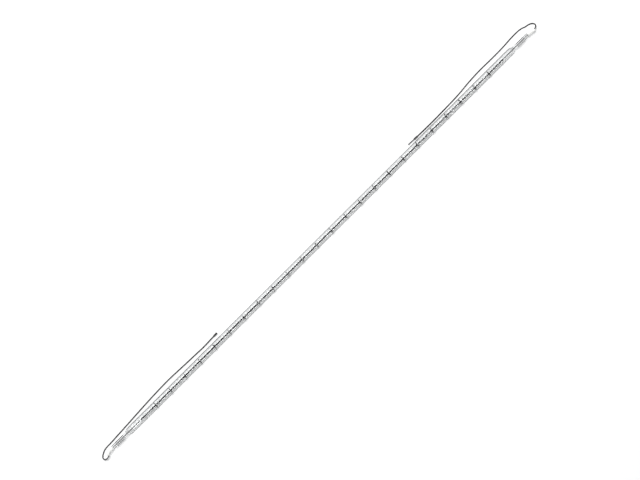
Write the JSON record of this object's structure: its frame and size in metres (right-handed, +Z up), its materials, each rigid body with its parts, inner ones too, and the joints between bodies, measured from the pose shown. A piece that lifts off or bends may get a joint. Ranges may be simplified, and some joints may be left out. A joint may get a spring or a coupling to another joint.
{
  "type": "tubular infrared heat lamp",
  "caption": "Slim clear quartz tube with a coiled filament on spaced wire supports, pressed end seals, and a flexible stranded lead from each end lying back along the tube.",
  "frame": {"origin": "under the middle of the quartz tube, on the surface that the lamp lies on", "axes": "+X along the tube towards the end that the filament sits nearer to, +Y towards the side that the leads lie on, +Z up"},
  "size_m": [0.7637, 0.018, 0.0095],
  "materials": {
    "quartz": "clear fused quartz, fire polished",
    "tungsten": "drawn tungsten wire, dark grey",
    "tungsten_leg": "drawn tungsten rod, dark grey",
    "support_wire": "drawn tungsten wire",
    "molybdenum_foil": "rolled foil, satin",
    "molybdenum_pin": "ground pin",
    "nickel": "crimped nickel",
    "glass_fibre_sleeving": "braided white glass fibre",
    "lead_strand": "twisted nickel strands, darkened",
    "crimp_band": "rolled nickel band"
  },
  "bodies": {
    "root": {"coil_leg_left": "tungsten_leg", "coil_leg_right": "tungsten_leg", "coil_support_01": "support_wire", "coil_support_02": "support_wire", "coil_support_03": "support_wire", "coil_support_04": "support_wire", "coil_support_05": "support_wire", "coil_support_06": "support_wire", "coil_support_07": "support_wire", "coil_support_08": "support_wire", "coil_support_09": "support_wire", "coil_support_10": "support_wire", "coil_support_11": "support_wire", "coil_support_12": "support_wire", "coil_support_13": "support_wire", "coil_support_14": "support_wire", "coil_support_15": "support_wire", "coil_support_16": "support_wire", "coil_support_17": "support_wire", "coil_support_18": "support_wire", "coil_support_19": "support_wire", "coil_support_20": "support_wire", "coil_support_21": "support_wire", "coil_support_22": "support_wire", "coil_support_23": "support_wire", "coil_support_24": "support_wire", "crimp_barrel_left": "nickel", "crimp_barrel_right": "nickel", "filament_coil": "tungsten", "joint_sleeve_left": "glass_fibre_sleeving", "joint_sleeve_right": "glass_fibre_sleeving", "lead_wire_left": "lead_strand", "lead_wire_right": "lead_strand", "outer_pin_left": "molybdenum_pin", "outer_pin_right": "molybdenum_pin", "quartz_tube": "quartz", "seal_foil_left": "molybdenum_foil", "seal_foil_right": "molybdenum_foil", "strand_band_left": "crimp_band", "strand_band_right": "crimp_band"}
  },
  "joints": []
}
